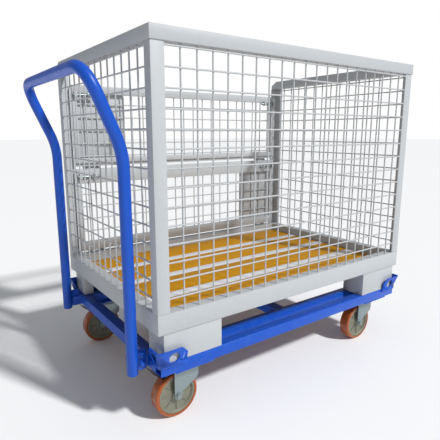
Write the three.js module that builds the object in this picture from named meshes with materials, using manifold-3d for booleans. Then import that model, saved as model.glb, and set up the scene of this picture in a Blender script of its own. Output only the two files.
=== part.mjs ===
// A wire-mesh box pallet that stands on a castor dolly with a push handle.
// Millimetres, +Z up. X runs along the long side, with the push handle at -X. The two drop gates are in the +Y side.
// Layout coordinates start at the box's front left corner and on the ground; the outer group centres them.
import * as THREE from "three";
import { mergeVertices } from "three/addons/utils/BufferGeometryUtils.js";
import Module from "manifold-3d";

const wasm = await Module();
wasm.setup();

// ---- Driving dimensions -------------------------------------------------------------------------------------------

const GAP = 0.3; // between pieces that touch

const BOX = { length: 1240, width: 835, bottom: 340, top: 1225 }; // the box pallet above its feet
const BASE = { height: 65, beam: 40, wall: 3 }; // the base frame's pressed beams
const TOP_RAIL = { size: 40, wall: 3, proud: 3, cutLength: 38, cutHeight: 22 };
const POST = { legX: 43, legY: 37, wall: 4 };
const FOOT = { length: 218, depth: 104, endInset: 20, wall: 3, lip: 40 };
const FLOOR = { top: 370, board: 18, bearer: 45, flange: 75, flangeWall: 4, count: 4 };
const WIRE = { size: 5.5, pitch: 55.8, everyNth: 2 }; // the solids carry every second wire of the welded grid
const GRID = { firstX: 97.5, lastX: 1157.7, firstY: 92.8, lastY: 762.4, firstZ: 506.1, lastZ: 1175.7 };

const GATE = { inner: 806, outer: 831, sideGap: 2, sideBar: 20, gridY: 815, wall: 2 };
const LOWER_GATE = { bottom: 417, top: 785, bottomBar: 40, topBar: 63 };
const UPPER_GATE = { bottom: 797, top: 1140, bottomBar: 36, topBar: 33 };
const MARKING_PLATE = { width: 214, thickness: 2, y: 824 };
const GATE_HINGE = { y: 842, radius: 6, knuckle: 40, fromEnd: 120 };
const LATCH = { radius: 6, length: 100, y: 799, upperZ: 1099, lowerZ: 753, travel: 24, knob: 16 };

const DOLLY = { front: 3, end: 7, top: 240, tube: 40, wall: 3 };
const INNER_RAIL_Y = 80;
const CATCH = { frontLeg: 97, endLeg: 68, bottom: 228, bend: 246, top: 290, flare: 12, plate: 6, hole: 17, cut: 24 };

const WHEEL = { radius: 80, tread: 11.7, halfWidth: 22, hub: 24, halfHub: 25.5 };
const CASTOR = { fromEnd: 128, fromSide: 78, trail: 40, plateLength: 135, plateWidth: 110, plate: 6, seat: 6 };
const FORK = { halfGap: 26, leg: 4, crownTop: 176, crown: 4 };
const AXLE = { radius: 6, headRadius: 11, head: 7 };
const PEDAL = { clearance: 7, plate: 4, halfWidth: 24, pivotX: -38, pivotZ: 170, pivotRadius: 5 };

const HANDLE = { radius: 19, x: -50, fromSide: 87, bottom: 190, bendZ: 890, topX: -150, topZ: 1122, bend: 90 };
const GUSSET = { plate: 6, bottom: 200, top: 268, boltZ: [218, 250], boltX: -16 };

const CENTRE_Y = BOX.width / 2;
const BASE_TOP = BOX.bottom + BASE.height;
const RAIL_BOTTOM = BOX.top - TOP_RAIL.size;
const LOWER_HINGE_Z = (BASE_TOP + LOWER_GATE.bottom) / 2;
const UPPER_HINGE_Z = (LOWER_GATE.top + UPPER_GATE.bottom) / 2;
const DOLLY_BOTTOM = DOLLY.top - DOLLY.tube;
const DOLLY_LENGTH = BOX.length - 2 * DOLLY.end;
const LEFTMOST = HANDLE.topX - 0.9756 * HANDLE.radius; // its facets stop short of the full radius
const RIGHTMOST = BOX.length - DOLLY.end + CATCH.plate + GAP + CATCH.flare;
const CENTRE_X = (LEFTMOST + RIGHTMOST) / 2;

// ---- Materials ----------------------------------------------------------------------------------------------------

const paint = (color, roughness, metalness) => new THREE.MeshStandardMaterial({ color, roughness, metalness });
const GREY_PAINT = paint(0xc3c7ca, 0.5, 0.1);
const BLUE_PAINT = paint(0x2c62c8, 0.35, 0.1);
const ZINC = paint(0x97a4a8, 0.35, 0.8);
const WHEEL_BODY = paint(0xa9a995, 0.55, 0);
const TYRE = paint(0xc8702f, 0.4, 0);
const BOARD = paint(0xbe8a00, 0.6, 0);
const BLACK = paint(0x1b1c1e, 0.6, 0);

// ---- Shape helpers ------------------------------------------------------------------------------------------------

// A closed geometry as a manifold-3d solid.
function solid(geometry) {
  const bare = geometry.clone();
  bare.deleteAttribute("normal");
  bare.deleteAttribute("uv");
  const merged = mergeVertices(bare, 1e-3);
  const vertProperties = new Float32Array(merged.attributes.position.array);
  const triVerts = new Uint32Array(merged.index.array);
  return new wasm.Manifold(new wasm.Mesh({ numProp: 3, vertProperties, triVerts }));
}

// A manifold-3d solid as a three.js geometry.
function geometry(body) {
  const mesh = body.getMesh();
  const made = new THREE.BufferGeometry();
  made.setAttribute("position", new THREE.BufferAttribute(mesh.vertProperties, 3));
  made.setIndex(new THREE.BufferAttribute(mesh.triVerts, 1));
  const flat = made.toNonIndexed();
  flat.computeVertexNormals();
  return flat;
}

const join = (...bodies) => bodies.reduce((all, body) => all.add(body));

function box(x0, x1, y0, y1, z0, z1) {
  const block = new THREE.BoxGeometry(x1 - x0, y1 - y0, z1 - z0);
  return solid(block.translate((x0 + x1) / 2, (y0 + y1) / 2, (z0 + z1) / 2));
}

// An outline given as [a, b] points, with holes, extruded from start to end along the axis "x", "y" or "z". The outline's
// plane is (y, z), (x, z) or (x, y).
function extrude(axis, outline, start, end, holes = []) {
  const flip = axis === "y" ? -1 : 1;
  const anticlockwise = (loop) => {
    const points = loop.map(([a, b]) => new THREE.Vector2(a * flip, b));
    return THREE.ShapeUtils.isClockWise(points) ? points.reverse() : points;
  };
  const shape = new THREE.Shape(anticlockwise(outline));
  for (const hole of holes) shape.holes.push(new THREE.Path(anticlockwise(hole)));
  const bar = new THREE.ExtrudeGeometry(shape, { depth: end - start, bevelEnabled: false }).translate(0, 0, start);
  if (axis === "x") bar.rotateX(Math.PI / 2).rotateZ(Math.PI / 2);
  if (axis === "y") bar.rotateX(Math.PI / 2).rotateZ(Math.PI);
  return solid(bar);
}

const rectangle = (a0, a1, b0, b1) => [[a0, b0], [a1, b0], [a1, b1], [a0, b1]];

// A cylinder along an axis, centred on (a, b) in the plane across it.
function rod(axis, radius, a, b, start, end, sides = 16) {
  const bar = new THREE.CylinderGeometry(radius, radius, end - start, sides);
  const middle = (start + end) / 2;
  if (axis === "x") bar.rotateZ(Math.PI / 2).translate(middle, a, b);
  if (axis === "y") bar.translate(a, middle, b);
  if (axis === "z") bar.rotateX(Math.PI / 2).translate(a, b, middle);
  return solid(bar);
}

// A square tube with open ends.
function tube(axis, a0, b0, size, wall, start, end) {
  const inside = rectangle(a0 + wall, a0 + size - wall, b0 + wall, b0 + size - wall);
  return extrude(axis, rectangle(a0, a0 + size, b0, b0 + size), start, end, [inside]);
}

// A ring turned about the Y axis from [radius, y] points that close on themselves.
function turned(profile, sides) {
  const points = [...profile, profile[0]].map(([radius, y]) => new THREE.Vector2(radius, y));
  return solid(new THREE.LatheGeometry(points, sides));
}

// Equal steps from first to last, both included.
function steps(first, last, step) {
  const count = Math.round((last - first) / step);
  return Array.from({ length: count + 1 }, (unused, i) => first + ((last - first) * i) / count);
}

// The wires of the welded grid that the solids carry, from first to last.
const wires = (first, last) => steps(first, last, WIRE.pitch).filter((unused, i) => i % WIRE.everyNth === 0);

// A flat grid of square wires in the plane across the axis, at the given centre lines.
function grid(axis, start, acrossA, acrossB) {
  const half = WIRE.size / 2;
  const [a0, a1, b0, b1] = [acrossA[0] - half, acrossA.at(-1) + half, acrossB[0] - half, acrossB.at(-1) + half];
  const bar = (...edges) => extrude(axis, rectangle(...edges), start, start + WIRE.size);
  const bars = acrossA.map((a) => bar(a - half, a + half, b0, b1));
  bars.push(...acrossB.map((b) => bar(a0, a1, b - half, b + half)));
  return join(...bars);
}

const layout = new THREE.Group();
layout.position.set(-CENTRE_X, -CENTRE_Y, 0);

function add(name, body, material, parent = layout) {
  const mesh = new THREE.Mesh(geometry(body), material);
  mesh.name = name;
  parent.add(mesh);
}

// The four corners: a group whose own axes point inwards from the corner of a length by width rectangle.
const CORNERS = [
  { name: "front_left", right: false, back: false },
  { name: "front_right", right: true, back: false },
  { name: "back_left", right: false, back: true },
  { name: "back_right", right: true, back: true },
];

function cornerGroup(corner) {
  const group = new THREE.Group();
  group.position.set(corner.right ? BOX.length : 0, corner.back ? BOX.width : 0, 0);
  group.scale.set(corner.right ? -1 : 1, corner.back ? -1 : 1, 1);
  layout.add(group);
  return group;
}

// ---- Dolly --------------------------------------------------------------------------------------------------------

function sideRail(y) {
  return tube("x", y, DOLLY_BOTTOM, DOLLY.tube, DOLLY.wall, DOLLY.end, BOX.length - DOLLY.end);
}

function endRail(x) {
  const start = DOLLY.front + DOLLY.tube + GAP;
  return tube("y", x, DOLLY_BOTTOM, DOLLY.tube, DOLLY.wall, start, BOX.width - start);
}

// The lug on the handle-end rail that the handle's gusset is bolted to.
function handleLug(y) {
  return box(GUSSET.boltX - 16, DOLLY.end + 1, y, y + GUSSET.plate, GUSSET.bottom, DOLLY.top);
}

// An inner rail with a castor seat plate welded under each end.
function innerRail(y, seatY0, seatY1) {
  const start = DOLLY.end + DOLLY.tube + GAP;
  let rail = tube("x", y, DOLLY_BOTTOM, DOLLY.tube, DOLLY.wall, start, BOX.length - start);
  const seatTop = DOLLY_BOTTOM - GAP;
  for (const x of [DOLLY.end + CASTOR.fromEnd, BOX.length - DOLLY.end - CASTOR.fromEnd]) {
    const half = CASTOR.plateLength / 2 + 6;
    rail = rail.add(box(x - half, x + half, seatY0, seatY1, seatTop - CASTOR.seat, seatTop));
    rail = rail.add(box(x - half, x + half, y, y + DOLLY.tube, seatTop - 1, DOLLY_BOTTOM + 1));
  }
  return rail;
}

// A bent corner catch that guides a foot of the box: an L in plan that leans outwards above its bend.
function cornerCatch() {
  const [outerX, outerY] = [DOLLY.end - CATCH.plate - GAP, DOLLY.front - CATCH.plate - GAP];
  const [endX, endY] = [DOLLY.end + CATCH.frontLeg - CATCH.plate, DOLLY.front + CATCH.endLeg - CATCH.plate];
  const round = 12;
  const bend = steps(0, Math.PI / 2, Math.PI / 8);
  const ring = (z, offset) => {
    const [x, y] = [outerX - offset, outerY - offset];
    const outside = bend.map((t) => [x + round - round * Math.cos(t), y + round - round * Math.sin(t)]);
    const inside = [x + CATCH.plate, y + CATCH.plate];
    const points = [[x, endY], ...outside, [endX, y], [endX, inside[1]], inside, [inside[0], endY]];
    return points.map(([a, b]) => [a, b, z]);
  };
  const rings = [ring(CATCH.bottom, 0), ring(CATCH.bend, 0), ring(CATCH.top, CATCH.flare)];
  const count = rings[0].length;
  const corners = rings.flat(2);
  const faces = [];
  for (let level = 0; level < rings.length - 1; level += 1) {
    for (let i = 0; i < count; i += 1) {
      const a = level * count + i;
      const b = level * count + ((i + 1) % count);
      faces.push(a, b, b + count, a, b + count, a + count);
    }
  }
  const cap = THREE.ShapeUtils.triangulateShape(rings[0].map(([x, y]) => new THREE.Vector2(x, y)), []);
  const last = (rings.length - 1) * count;
  for (const [a, b, c] of cap) faces.push(c, b, a, last + a, last + b, last + c);
  const plate = new THREE.BufferGeometry();
  plate.setAttribute("position", new THREE.BufferAttribute(new Float32Array(corners), 3));
  plate.setIndex(faces);
  let body = solid(plate);
  const holeZ = (CATCH.bottom + CATCH.top) / 2;
  body = body.subtract(rod("y", CATCH.hole, DOLLY.end + 45, holeZ, -30, 20));
  body = body.subtract(rod("x", CATCH.hole, DOLLY.front + 36, holeZ, -30, 20));
  const top = CATCH.top + 1;
  const cut = (end) => [[end - CATCH.cut, top], [end, top - CATCH.cut], [end, top]];
  body = body.subtract(extrude("y", cut(endX + 1), -30, 10));
  return body.subtract(extrude("x", cut(endY + 1), -30, 12));
}

// The push handle: one bent tube, a gusset plate welded to the foot of each upright, and their bolt heads.
function pushHandle() {
  const near = HANDLE.fromSide;
  const far = BOX.width - HANDLE.fromSide;
  const lean = new THREE.Vector3(HANDLE.topX - HANDLE.x, 0, HANDLE.topZ - HANDLE.bendZ).normalize();
  const foot = (y) => new THREE.Vector3(HANDLE.x, y, HANDLE.bottom);
  const knee = (y) => new THREE.Vector3(HANDLE.x, y, HANDLE.bendZ);
  const corner = (y) => new THREE.Vector3(HANDLE.topX, y, HANDLE.topZ);
  const up = new THREE.Vector3(0, 0, 1);
  const across = new THREE.Vector3(0, 1, 0);
  const back = (direction) => direction.clone().negate();
  const path = new THREE.CurvePath();
  let pen = foot(near);
  // A straight run up to where the bend starts, then the bend itself.
  const turn = (apex, before, after, reach) => {
    const entry = apex.clone().addScaledVector(before, -reach);
    const exit = apex.clone().addScaledVector(after, reach);
    path.add(new THREE.LineCurve3(pen, entry));
    path.add(new THREE.QuadraticBezierCurve3(entry, apex, exit));
    pen = exit;
  };
  turn(knee(near), up, lean, HANDLE.bend * 0.6);
  turn(corner(near), lean, across, HANDLE.bend);
  turn(corner(far), across, back(lean), HANDLE.bend);
  turn(knee(far), back(lean), back(up), HANDLE.bend * 0.6);
  path.add(new THREE.LineCurve3(pen, foot(far)));
  const points = [];
  for (const [i, curve] of path.curves.entries()) {
    const divisions = i % 2 ? 5 : 1;
    const run = curve.getPoints(divisions);
    points.push(...(i ? run.slice(1) : run));
  }
  let body = sweep(points, HANDLE.radius, 10);
  for (const [y, side] of [[near, 1], [far, -1]]) {
    const y0 = Math.min(y, y + side * GUSSET.plate);
    body = body.add(box(HANDLE.x, GUSSET.boltX + 14, y0, y0 + GUSSET.plate, GUSSET.bottom, GUSSET.top));
    for (const z of GUSSET.boltZ) {
      const start = side > 0 ? y0 - 7 : y0 + GUSSET.plate - 1;
      body = body.add(rod("y", 9, GUSSET.boltX, z, start, start + 8, 6));
    }
  }
  return body;
}

// A round bar along a polyline, mitred at each point.
function sweep(points, radius, sides) {
  const corners = [];
  const faces = [];
  let side = new THREE.Vector3(0, 1, 0);
  points.forEach((point, i) => {
    const before = points[Math.max(i - 1, 0)];
    const after = points[Math.min(i + 1, points.length - 1)];
    const into = point.clone().sub(before).normalize();
    const out = after.clone().sub(point).normalize();
    const along = (i ? into : out).clone().add(i < points.length - 1 ? out : into).normalize();
    const stretch = 1 / Math.max((i ? into : out).dot(along), 0.5);
    side = side.clone().addScaledVector(along, -side.dot(along)).normalize();
    const lift = new THREE.Vector3().crossVectors(along, side);
    const bendAxis = into.lengthSq() && out.lengthSq() ? new THREE.Vector3().crossVectors(into, out) : null;
    for (let k = 0; k < sides; k += 1) {
      const angle = (2 * Math.PI * (k + 0.5)) / sides;
      const spoke = side.clone().multiplyScalar(Math.cos(angle)).addScaledVector(lift, Math.sin(angle));
      if (bendAxis && bendAxis.length() > 1e-6) {
        const inPlane = new THREE.Vector3().crossVectors(along, bendAxis.clone().normalize());
        spoke.addScaledVector(inPlane, spoke.dot(inPlane) * (stretch - 1));
      }
      corners.push(...point.clone().addScaledVector(spoke, radius).toArray());
    }
    if (i) {
      for (let k = 0; k < sides; k += 1) {
        const a = (i - 1) * sides + k;
        const b = (i - 1) * sides + ((k + 1) % sides);
        faces.push(a, b, b + sides, a, b + sides, a + sides);
      }
    }
  });
  const last = (points.length - 1) * sides;
  for (let k = 2; k < sides; k += 1) {
    faces.push(0, k, k - 1);
    faces.push(last, last + k - 1, last + k);
  }
  const bar = new THREE.BufferGeometry();
  bar.setAttribute("position", new THREE.BufferAttribute(new Float32Array(corners), 3));
  bar.setIndex(faces);
  return solid(bar);
}

const backRailY = BOX.width - DOLLY.front - DOLLY.tube;
const lugNear = HANDLE.fromSide + GUSSET.plate + GAP;
const lugFar = BOX.width - lugNear - GUSSET.plate;
add("dolly_side_rail_front", sideRail(DOLLY.front), BLUE_PAINT);
add("dolly_side_rail_back", sideRail(backRailY), BLUE_PAINT);
add("dolly_end_rail_left", join(endRail(DOLLY.end), handleLug(lugNear), handleLug(lugFar)), BLUE_PAINT);
add("dolly_end_rail_right", endRail(BOX.length - DOLLY.end - DOLLY.tube), BLUE_PAINT);
const seatReach = DOLLY.front + CASTOR.fromSide + CASTOR.plateWidth / 2 + 5;
add("dolly_inner_rail_front", innerRail(INNER_RAIL_Y, DOLLY.front + 2, seatReach), BLUE_PAINT);
const innerBackY = BOX.width - INNER_RAIL_Y - DOLLY.tube;
add("dolly_inner_rail_back", innerRail(innerBackY, BOX.width - seatReach, BOX.width - DOLLY.front - 2), BLUE_PAINT);
const crossStart = INNER_RAIL_Y + DOLLY.tube + GAP;
const crossX = (BOX.length - DOLLY.tube) / 2;
add("dolly_cross_tube", tube("y", crossX, DOLLY_BOTTOM, DOLLY.tube, DOLLY.wall, crossStart, BOX.width - crossStart),
  BLUE_PAINT);
add("push_handle", pushHandle(), BLUE_PAINT);
for (const corner of CORNERS) add("corner_catch_" + corner.name, cornerCatch(), BLUE_PAINT, cornerGroup(corner));

// ---- Castors ------------------------------------------------------------------------------------------------------
// Each is built about its own swivel axis, trailing towards -X.

function castorPlate() {
  const top = DOLLY_BOTTOM - 2 * GAP - CASTOR.seat;
  const [halfX, halfY] = [CASTOR.plateLength / 2, CASTOR.plateWidth / 2];
  let plate = box(-halfX, halfX, -halfY, halfY, top - CASTOR.plate, top);
  plate = plate.add(rod("z", 37, 0, 0, FORK.crownTop + 5 + GAP, top - 1, 16));
  for (const x of [-halfX + 15, halfX - 15]) {
    for (const y of [-halfY + 15, halfY - 15]) plate = plate.add(rod("z", 9, x, y, top - CASTOR.plate - 7, top - 1, 6));
  }
  return plate;
}

function castorFork() {
  const inner = FORK.halfGap;
  const outer = inner + FORK.leg;
  const axleX = -CASTOR.trail;
  const foot = steps(Math.PI, 2 * Math.PI, Math.PI / 4).map((t) => {
    return [axleX + 15 * Math.cos(t), WHEEL.radius + 15 * Math.sin(t)];
  });
  const side = [[-41, FORK.crownTop], ...foot, [38, 122], [41, FORK.crownTop]];
  let fork = box(-41, 41, -outer, outer, FORK.crownTop - FORK.crown, FORK.crownTop);
  for (const start of [-outer, inner]) fork = fork.add(extrude("y", side, start, start + FORK.leg));
  fork = fork.add(rod("z", 39, 0, 0, FORK.crownTop - 1, FORK.crownTop + 5, 16));
  return fork.subtract(rod("y", AXLE.radius + GAP, axleX, WHEEL.radius, -outer - 1, outer + 1));
}

function wheelBody() {
  const rim = WHEEL.radius - WHEEL.tread - GAP;
  const half = [[AXLE.radius + GAP, WHEEL.halfHub], [WHEEL.hub, WHEEL.halfHub], [WHEEL.hub + 4, 9], [rim - 10, 9],
    [rim - 7, WHEEL.halfWidth - 2], [rim, WHEEL.halfWidth - 2]];
  return turned([...half, ...half.map(([r, y]) => [r, -y]).reverse()].reverse(), 16);
}

function tyre() {
  const inner = WHEEL.radius - WHEEL.tread;
  const half = [[inner, WHEEL.halfWidth], [WHEEL.radius - 5, WHEEL.halfWidth], [WHEEL.radius, WHEEL.halfWidth - 6]];
  return turned([...half, ...half.map(([r, y]) => [r, -y]).reverse()].reverse(), 32);
}

function axleBolt() {
  const outer = FORK.halfGap + FORK.leg + GAP;
  let bolt = rod("y", AXLE.radius, 0, 0, -outer - 1, outer + 1);
  for (const start of [-outer - AXLE.head, outer]) {
    bolt = bolt.add(rod("y", AXLE.headRadius, 0, 0, start, start + AXLE.head, 6));
  }
  return bolt;
}

// The brake pedal: a bent strip that follows the tread from its pivot and then rises to the foot plate.
function brakePedal() {
  const centre = [-CASTOR.trail, WHEEL.radius];
  const inner = WHEEL.radius + PEDAL.clearance;
  const angles = steps((88 * Math.PI) / 180, (124 * Math.PI) / 180, (12 * Math.PI) / 180);
  const arc = (radius) => angles.map((t) => [centre[0] + radius * Math.cos(t), centre[1] + radius * Math.sin(t)]);
  const tip = [[-128, 186], [-129, 190]];
  const outline = [...arc(inner), ...tip, ...arc(inner + PEDAL.plate).reverse()];
  const strip = extrude("y", outline, -PEDAL.halfWidth, PEDAL.halfWidth);
  const end = FORK.halfGap - 0.5;
  const barrel = rod("y", PEDAL.pivotRadius - 2.5, PEDAL.pivotX, PEDAL.pivotZ - 1, -end, end, 12);
  return strip.add(barrel);
}

for (const corner of CORNERS) {
  const group = new THREE.Group();
  const fromLeft = DOLLY.end + CASTOR.fromEnd;
  const fromFront = DOLLY.front + CASTOR.fromSide;
  group.position.set(corner.right ? BOX.length - fromLeft : fromLeft, corner.back ? BOX.width - fromFront : fromFront, 0);
  layout.add(group);
  const wheel = new THREE.Group();
  wheel.position.set(-CASTOR.trail, 0, WHEEL.radius);
  group.add(wheel);
  add("castor_plate_" + corner.name, castorPlate(), ZINC, group);
  add("castor_fork_" + corner.name, castorFork(), ZINC, group);
  add("wheel_body_" + corner.name, wheelBody(), WHEEL_BODY, wheel);
  add("tyre_" + corner.name, tyre(), TYRE, wheel);
  add("axle_bolt_" + corner.name, axleBolt(), ZINC, wheel);
  if (!corner.right) add("brake_pedal_" + corner.name, brakePedal(), BLACK, group);
}

// ---- Box pallet: base, feet and floor -------------------------------------------------------------------------------

const boardSpan = BOX.width - 2 * BASE.beam;
const boardWidth = (boardSpan - (FLOOR.count - 1) * FLOOR.bearer) / FLOOR.count;
const boardStart = (i) => BASE.beam + i * (boardWidth + FLOOR.bearer);

// The base: beams open underneath, three floor bearers with flanges, the edge ledges, and the lower gate's hinge lugs.
function baseFrame() {
  const { length, width, bottom } = BOX;
  const [beam, wall] = [BASE.beam, BASE.wall];
  let frame = box(0, length, 0, width, bottom, BASE_TOP);
  frame = frame.subtract(box(beam, length - beam, beam, width - beam, bottom - 1, BASE_TOP + 1));
  const hollow = box(wall, length - wall, wall, width - wall, bottom - 1, BASE_TOP - wall);
  const core = box(beam - wall, length - beam + wall, beam - wall, width - beam + wall, bottom - 2, BASE_TOP);
  frame = frame.subtract(hollow.subtract(core));
  const flangeTop = FLOOR.top - FLOOR.board - GAP;
  const bars = [];
  for (let i = 1; i < FLOOR.count; i += 1) {
    const y = boardStart(i) - FLOOR.bearer;
    const spread = (FLOOR.flange - FLOOR.bearer) / 2;
    bars.push(box(beam - 1, length - beam + 1, y, y + FLOOR.bearer, flangeTop - 1, FLOOR.top));
    const [y0, y1] = [y - spread, y + FLOOR.bearer + spread];
    bars.push(box(beam - 1, length - beam + 1, y0, y1, flangeTop - FLOOR.flangeWall, flangeTop));
  }
  for (const y of [beam - 1, width - beam - 19]) {
    bars.push(box(beam - 1, length - beam + 1, y, y + 20, flangeTop - FLOOR.flangeWall, flangeTop));
  }
  return join(frame, ...bars, ...gateLugs(LOWER_HINGE_Z, -1));
}

// Hinge lugs beside each gate knuckle: below the axis on the fixed side, above it on the gate's own side.
function gateLugs(z, side) {
  const lugs = [];
  const half = GATE_HINGE.knuckle / 2;
  for (const x of [GATE_HINGE.fromEnd, BOX.length - GATE_HINGE.fromEnd]) {
    const spans = side < 0 ? [[x - half - 16, x - half - GAP], [x + half + GAP, x + half + 16]] : [[x - half, x + half]];
    for (const [x0, x1] of spans) {
      lugs.push(rod("x", GATE_HINGE.radius, GATE_HINGE.y, z, x0, x1, 12));
      const [z0, z1] = side < 0 ? [z - 9, z] : [z, z + 9];
      lugs.push(box(x0, x1, GATE.outer - 2, GATE_HINGE.y, z0, z1));
    }
  }
  return lugs;
}

function foot() {
  const { length, depth, endInset, wall, lip } = FOOT;
  const [x0, x1] = [endInset, endInset + length];
  const [y0, y1] = [DOLLY.front + 0.5, DOLLY.front + depth];
  const section = [[x0, y0], [x1, y0], [x1, y1], [x1 - lip, y1], [x1 - lip, y1 - wall], [x1 - wall, y1 - wall],
    [x1 - wall, y0 + wall], [x0 + wall, y0 + wall], [x0 + wall, y1 - wall], [x0 + lip, y1 - wall], [x0 + lip, y1], [x0, y1]];
  return extrude("z", section, DOLLY.top + GAP, BOX.bottom - GAP);
}

function post() {
  const { legX, legY, wall } = POST;
  const section = [[0, 0], [legX, 0], [legX, wall], [wall, wall], [wall, legY], [0, legY]];
  return extrude("z", section, BASE_TOP + GAP, RAIL_BOTTOM - GAP);
}

// The top rail: a U of square tube in plan, its back ends cut off at a slant and left open.
function topRail() {
  const { size, wall, proud, cutLength, cutHeight } = TOP_RAIL;
  const [x0, x1, y0, y1] = [-proud, BOX.length + proud, -proud, BOX.width + proud];
  const outline = (inset, end) => [[x0 + inset, end], [x0 + inset, y0 + inset], [x1 - inset, y0 + inset], [x1 - inset, end],
    [x1 - size + inset, end], [x1 - size + inset, y0 + size - inset], [x0 + size - inset, y0 + size - inset],
    [x0 + size - inset, end]];
  const outer = extrude("z", outline(0, y1), RAIL_BOTTOM, BOX.top);
  const inner = extrude("z", outline(wall, y1 + 5), RAIL_BOTTOM + wall, BOX.top - wall);
  const cut = [[y1 - cutLength, BOX.top + 1], [y1 + 1, BOX.top + 1], [y1 + 1, BOX.top - cutHeight]];
  return outer.subtract(inner).subtract(extrude("x", cut, x0 - 1, x1 + 1));
}

add("base_frame", baseFrame(), GREY_PAINT);
for (let i = 0; i < FLOOR.count; i += 1) {
  const [y0, y1] = [boardStart(i) + 0.5, boardStart(i) + boardWidth - 0.5];
  const ends = [BASE.beam + 0.5, BOX.length - BASE.beam - 0.5];
  add("floor_board_" + (i + 1), box(...ends, y0, y1, FLOOR.top - FLOOR.board, FLOOR.top), BOARD);
}
for (const corner of CORNERS) {
  const group = cornerGroup(corner);
  add("foot_" + corner.name, foot(), GREY_PAINT, group);
  add("post_" + corner.name, post(), GREY_PAINT, group);
}
add("top_rail", topRail(), GREY_PAINT);

// ---- Box pallet: mesh sides -----------------------------------------------------------------------------------------

const half = WIRE.size / 2;
const gridZ = [BASE_TOP + GAP + half, ...wires(GRID.firstZ, GRID.lastZ)];
const gridX = [POST.legX + 1, ...wires(GRID.firstX, GRID.lastX), BOX.length - POST.legX - 1];
const gridY = [POST.legY + 1, ...wires(GRID.firstY, GRID.lastY), BOX.width - POST.legY - 1];
const behindPost = POST.wall + GAP;
add("mesh_front", grid("y", behindPost, gridX, gridZ), GREY_PAINT);
add("mesh_left", grid("x", behindPost, gridY, gridZ), GREY_PAINT);
add("mesh_right", grid("x", BOX.length - behindPost - WIRE.size, gridY, gridZ), GREY_PAINT);

// ---- Drop gates -----------------------------------------------------------------------------------------------------

const gateLeft = POST.legX + GATE.sideGap;
const gateRight = BOX.length - gateLeft;

// Two small keepers hold a latch bolt against the gate's inner face.
function latchKeepers(z, plateTop) {
  const keepers = [];
  for (const side of [0, 1]) {
    for (const reach of [14, 80]) {
      const x = side ? gateRight - reach : gateLeft + reach;
      const block = box(x - 5, x + 5, LATCH.y - LATCH.radius - 4, GATE.inner + 1, z - LATCH.radius - 4, plateTop);
      keepers.push(block.subtract(rod("x", LATCH.radius + GAP, LATCH.y, z, x - 6, x + 6)));
    }
  }
  return keepers;
}

function gate(size, hingeZ, latchZ) {
  const { bottom, top, bottomBar, topBar } = size;
  const window = rectangle(gateLeft + GATE.sideBar, gateRight - GATE.sideBar, bottom + bottomBar, top - topBar);
  const frame = extrude("y", rectangle(gateLeft, gateRight, bottom, top), GATE.inner, GATE.outer, [window]);
  const acrossX = [gateLeft + 10, ...wires(GRID.firstX, GRID.lastX), gateRight - 10];
  const acrossZ = steps(bottom + bottomBar - 3, top - topBar + 3, WIRE.pitch * WIRE.everyNth);
  return join(frame, grid("y", GATE.gridY, acrossX, acrossZ), ...gateLugs(hingeZ, 1), ...latchKeepers(latchZ, latchZ + 14));
}

function markingPlate(x0, size) {
  const [z0, z1] = [size.bottom + size.bottomBar + GAP, size.top - size.topBar - GAP];
  return box(x0, x0 + MARKING_PLATE.width, MARKING_PLATE.y, MARKING_PLATE.y + MARKING_PLATE.thickness, z0, z1);
}

// A slide bolt with a knob, drawn back: it slides outwards behind the post.
function latchBolt(z, right) {
  const [x0, x1] = right ? [gateRight - LATCH.length, gateRight] : [gateLeft, gateLeft + LATCH.length];
  const knobX = right ? gateRight - 62 : gateLeft + 62;
  const rodBody = rod("x", LATCH.radius, LATCH.y, z, x0, x1, 12);
  return rodBody.add(rod("y", 4, knobX, z, LATCH.y - LATCH.radius - LATCH.knob, LATCH.y, 10));
}

const plateInset = gateLeft + GATE.sideBar + GAP;
const lowerGate = gate(LOWER_GATE, LOWER_HINGE_Z, LATCH.lowerZ);
add("lower_gate", join(lowerGate, ...gateLugs(UPPER_HINGE_Z, -1)), GREY_PAINT);
add("upper_gate", gate(UPPER_GATE, UPPER_HINGE_Z, LATCH.upperZ), GREY_PAINT);
add("lower_marking_plate", markingPlate(BOX.length - plateInset - MARKING_PLATE.width, LOWER_GATE), GREY_PAINT);
add("upper_marking_plate", markingPlate(plateInset, UPPER_GATE), GREY_PAINT);
for (const [level, z] of [["lower", LATCH.lowerZ], ["upper", LATCH.upperZ]]) {
  add(level + "_latch_left", latchBolt(z, false), ZINC);
  add(level + "_latch_right", latchBolt(z, true), ZINC);
}

const part = new THREE.Group();
part.add(layout);
export default part;
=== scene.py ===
# %% [markdown]
# # A mesh box pallet on a castor dolly
# The real thing is two products in one: a box of welded wire and pressed steel, and a blue tubular
# dolly that carries it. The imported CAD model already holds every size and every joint, so this
# script only builds what is seen. It works in millimetres from the box's front left corner, as a
# fitter would measure it, and turns that into metres at the end.

# %% Load the frame and set the measuring point
import math

import bmesh
import bpy
from mathutils import Matrix, Vector


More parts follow.
